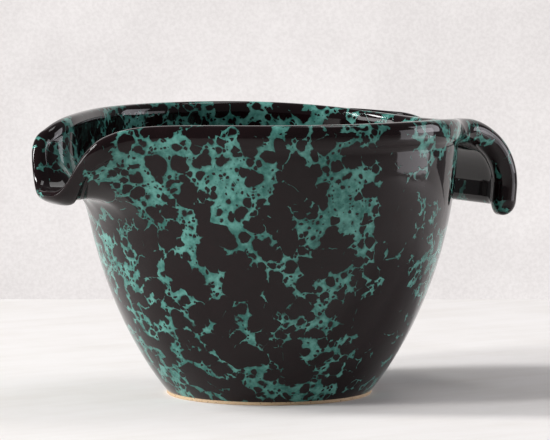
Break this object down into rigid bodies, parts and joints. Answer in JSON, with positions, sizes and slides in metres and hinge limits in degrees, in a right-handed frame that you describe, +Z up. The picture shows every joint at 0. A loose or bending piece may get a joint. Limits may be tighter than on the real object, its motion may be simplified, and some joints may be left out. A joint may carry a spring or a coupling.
{
  "type": "batter bowl",
  "caption": "Deep round mixing bowl in mottled glazed stoneware, with a thick rolled rim, a broad drooping pouring spout and a wide curled handle opposite it.",
  "frame": {"origin": "centre of the foot on the surface the bowl stands on", "axes": "+Z up along the bowl's axis, +X towards the handle, -X towards the spout; the bowl is symmetric about the plane of Y zero"},
  "size_m": [0.2562, 0.1876, 0.1369],
  "materials": {
    "mottled_glaze": "glossy sea-green glaze under irregular brown-black blotches",
    "bare_stoneware": "unglazed fired clay, matt"
  },
  "bodies": {
    "root": {"bowl_base": "mottled_glaze", "bowl_wall": "mottled_glaze", "foot_ring": "bare_stoneware", "rim_band": "mottled_glaze", "pouring_spout": "mottled_glaze", "handle": "mottled_glaze"}
  },
  "joints": []
}
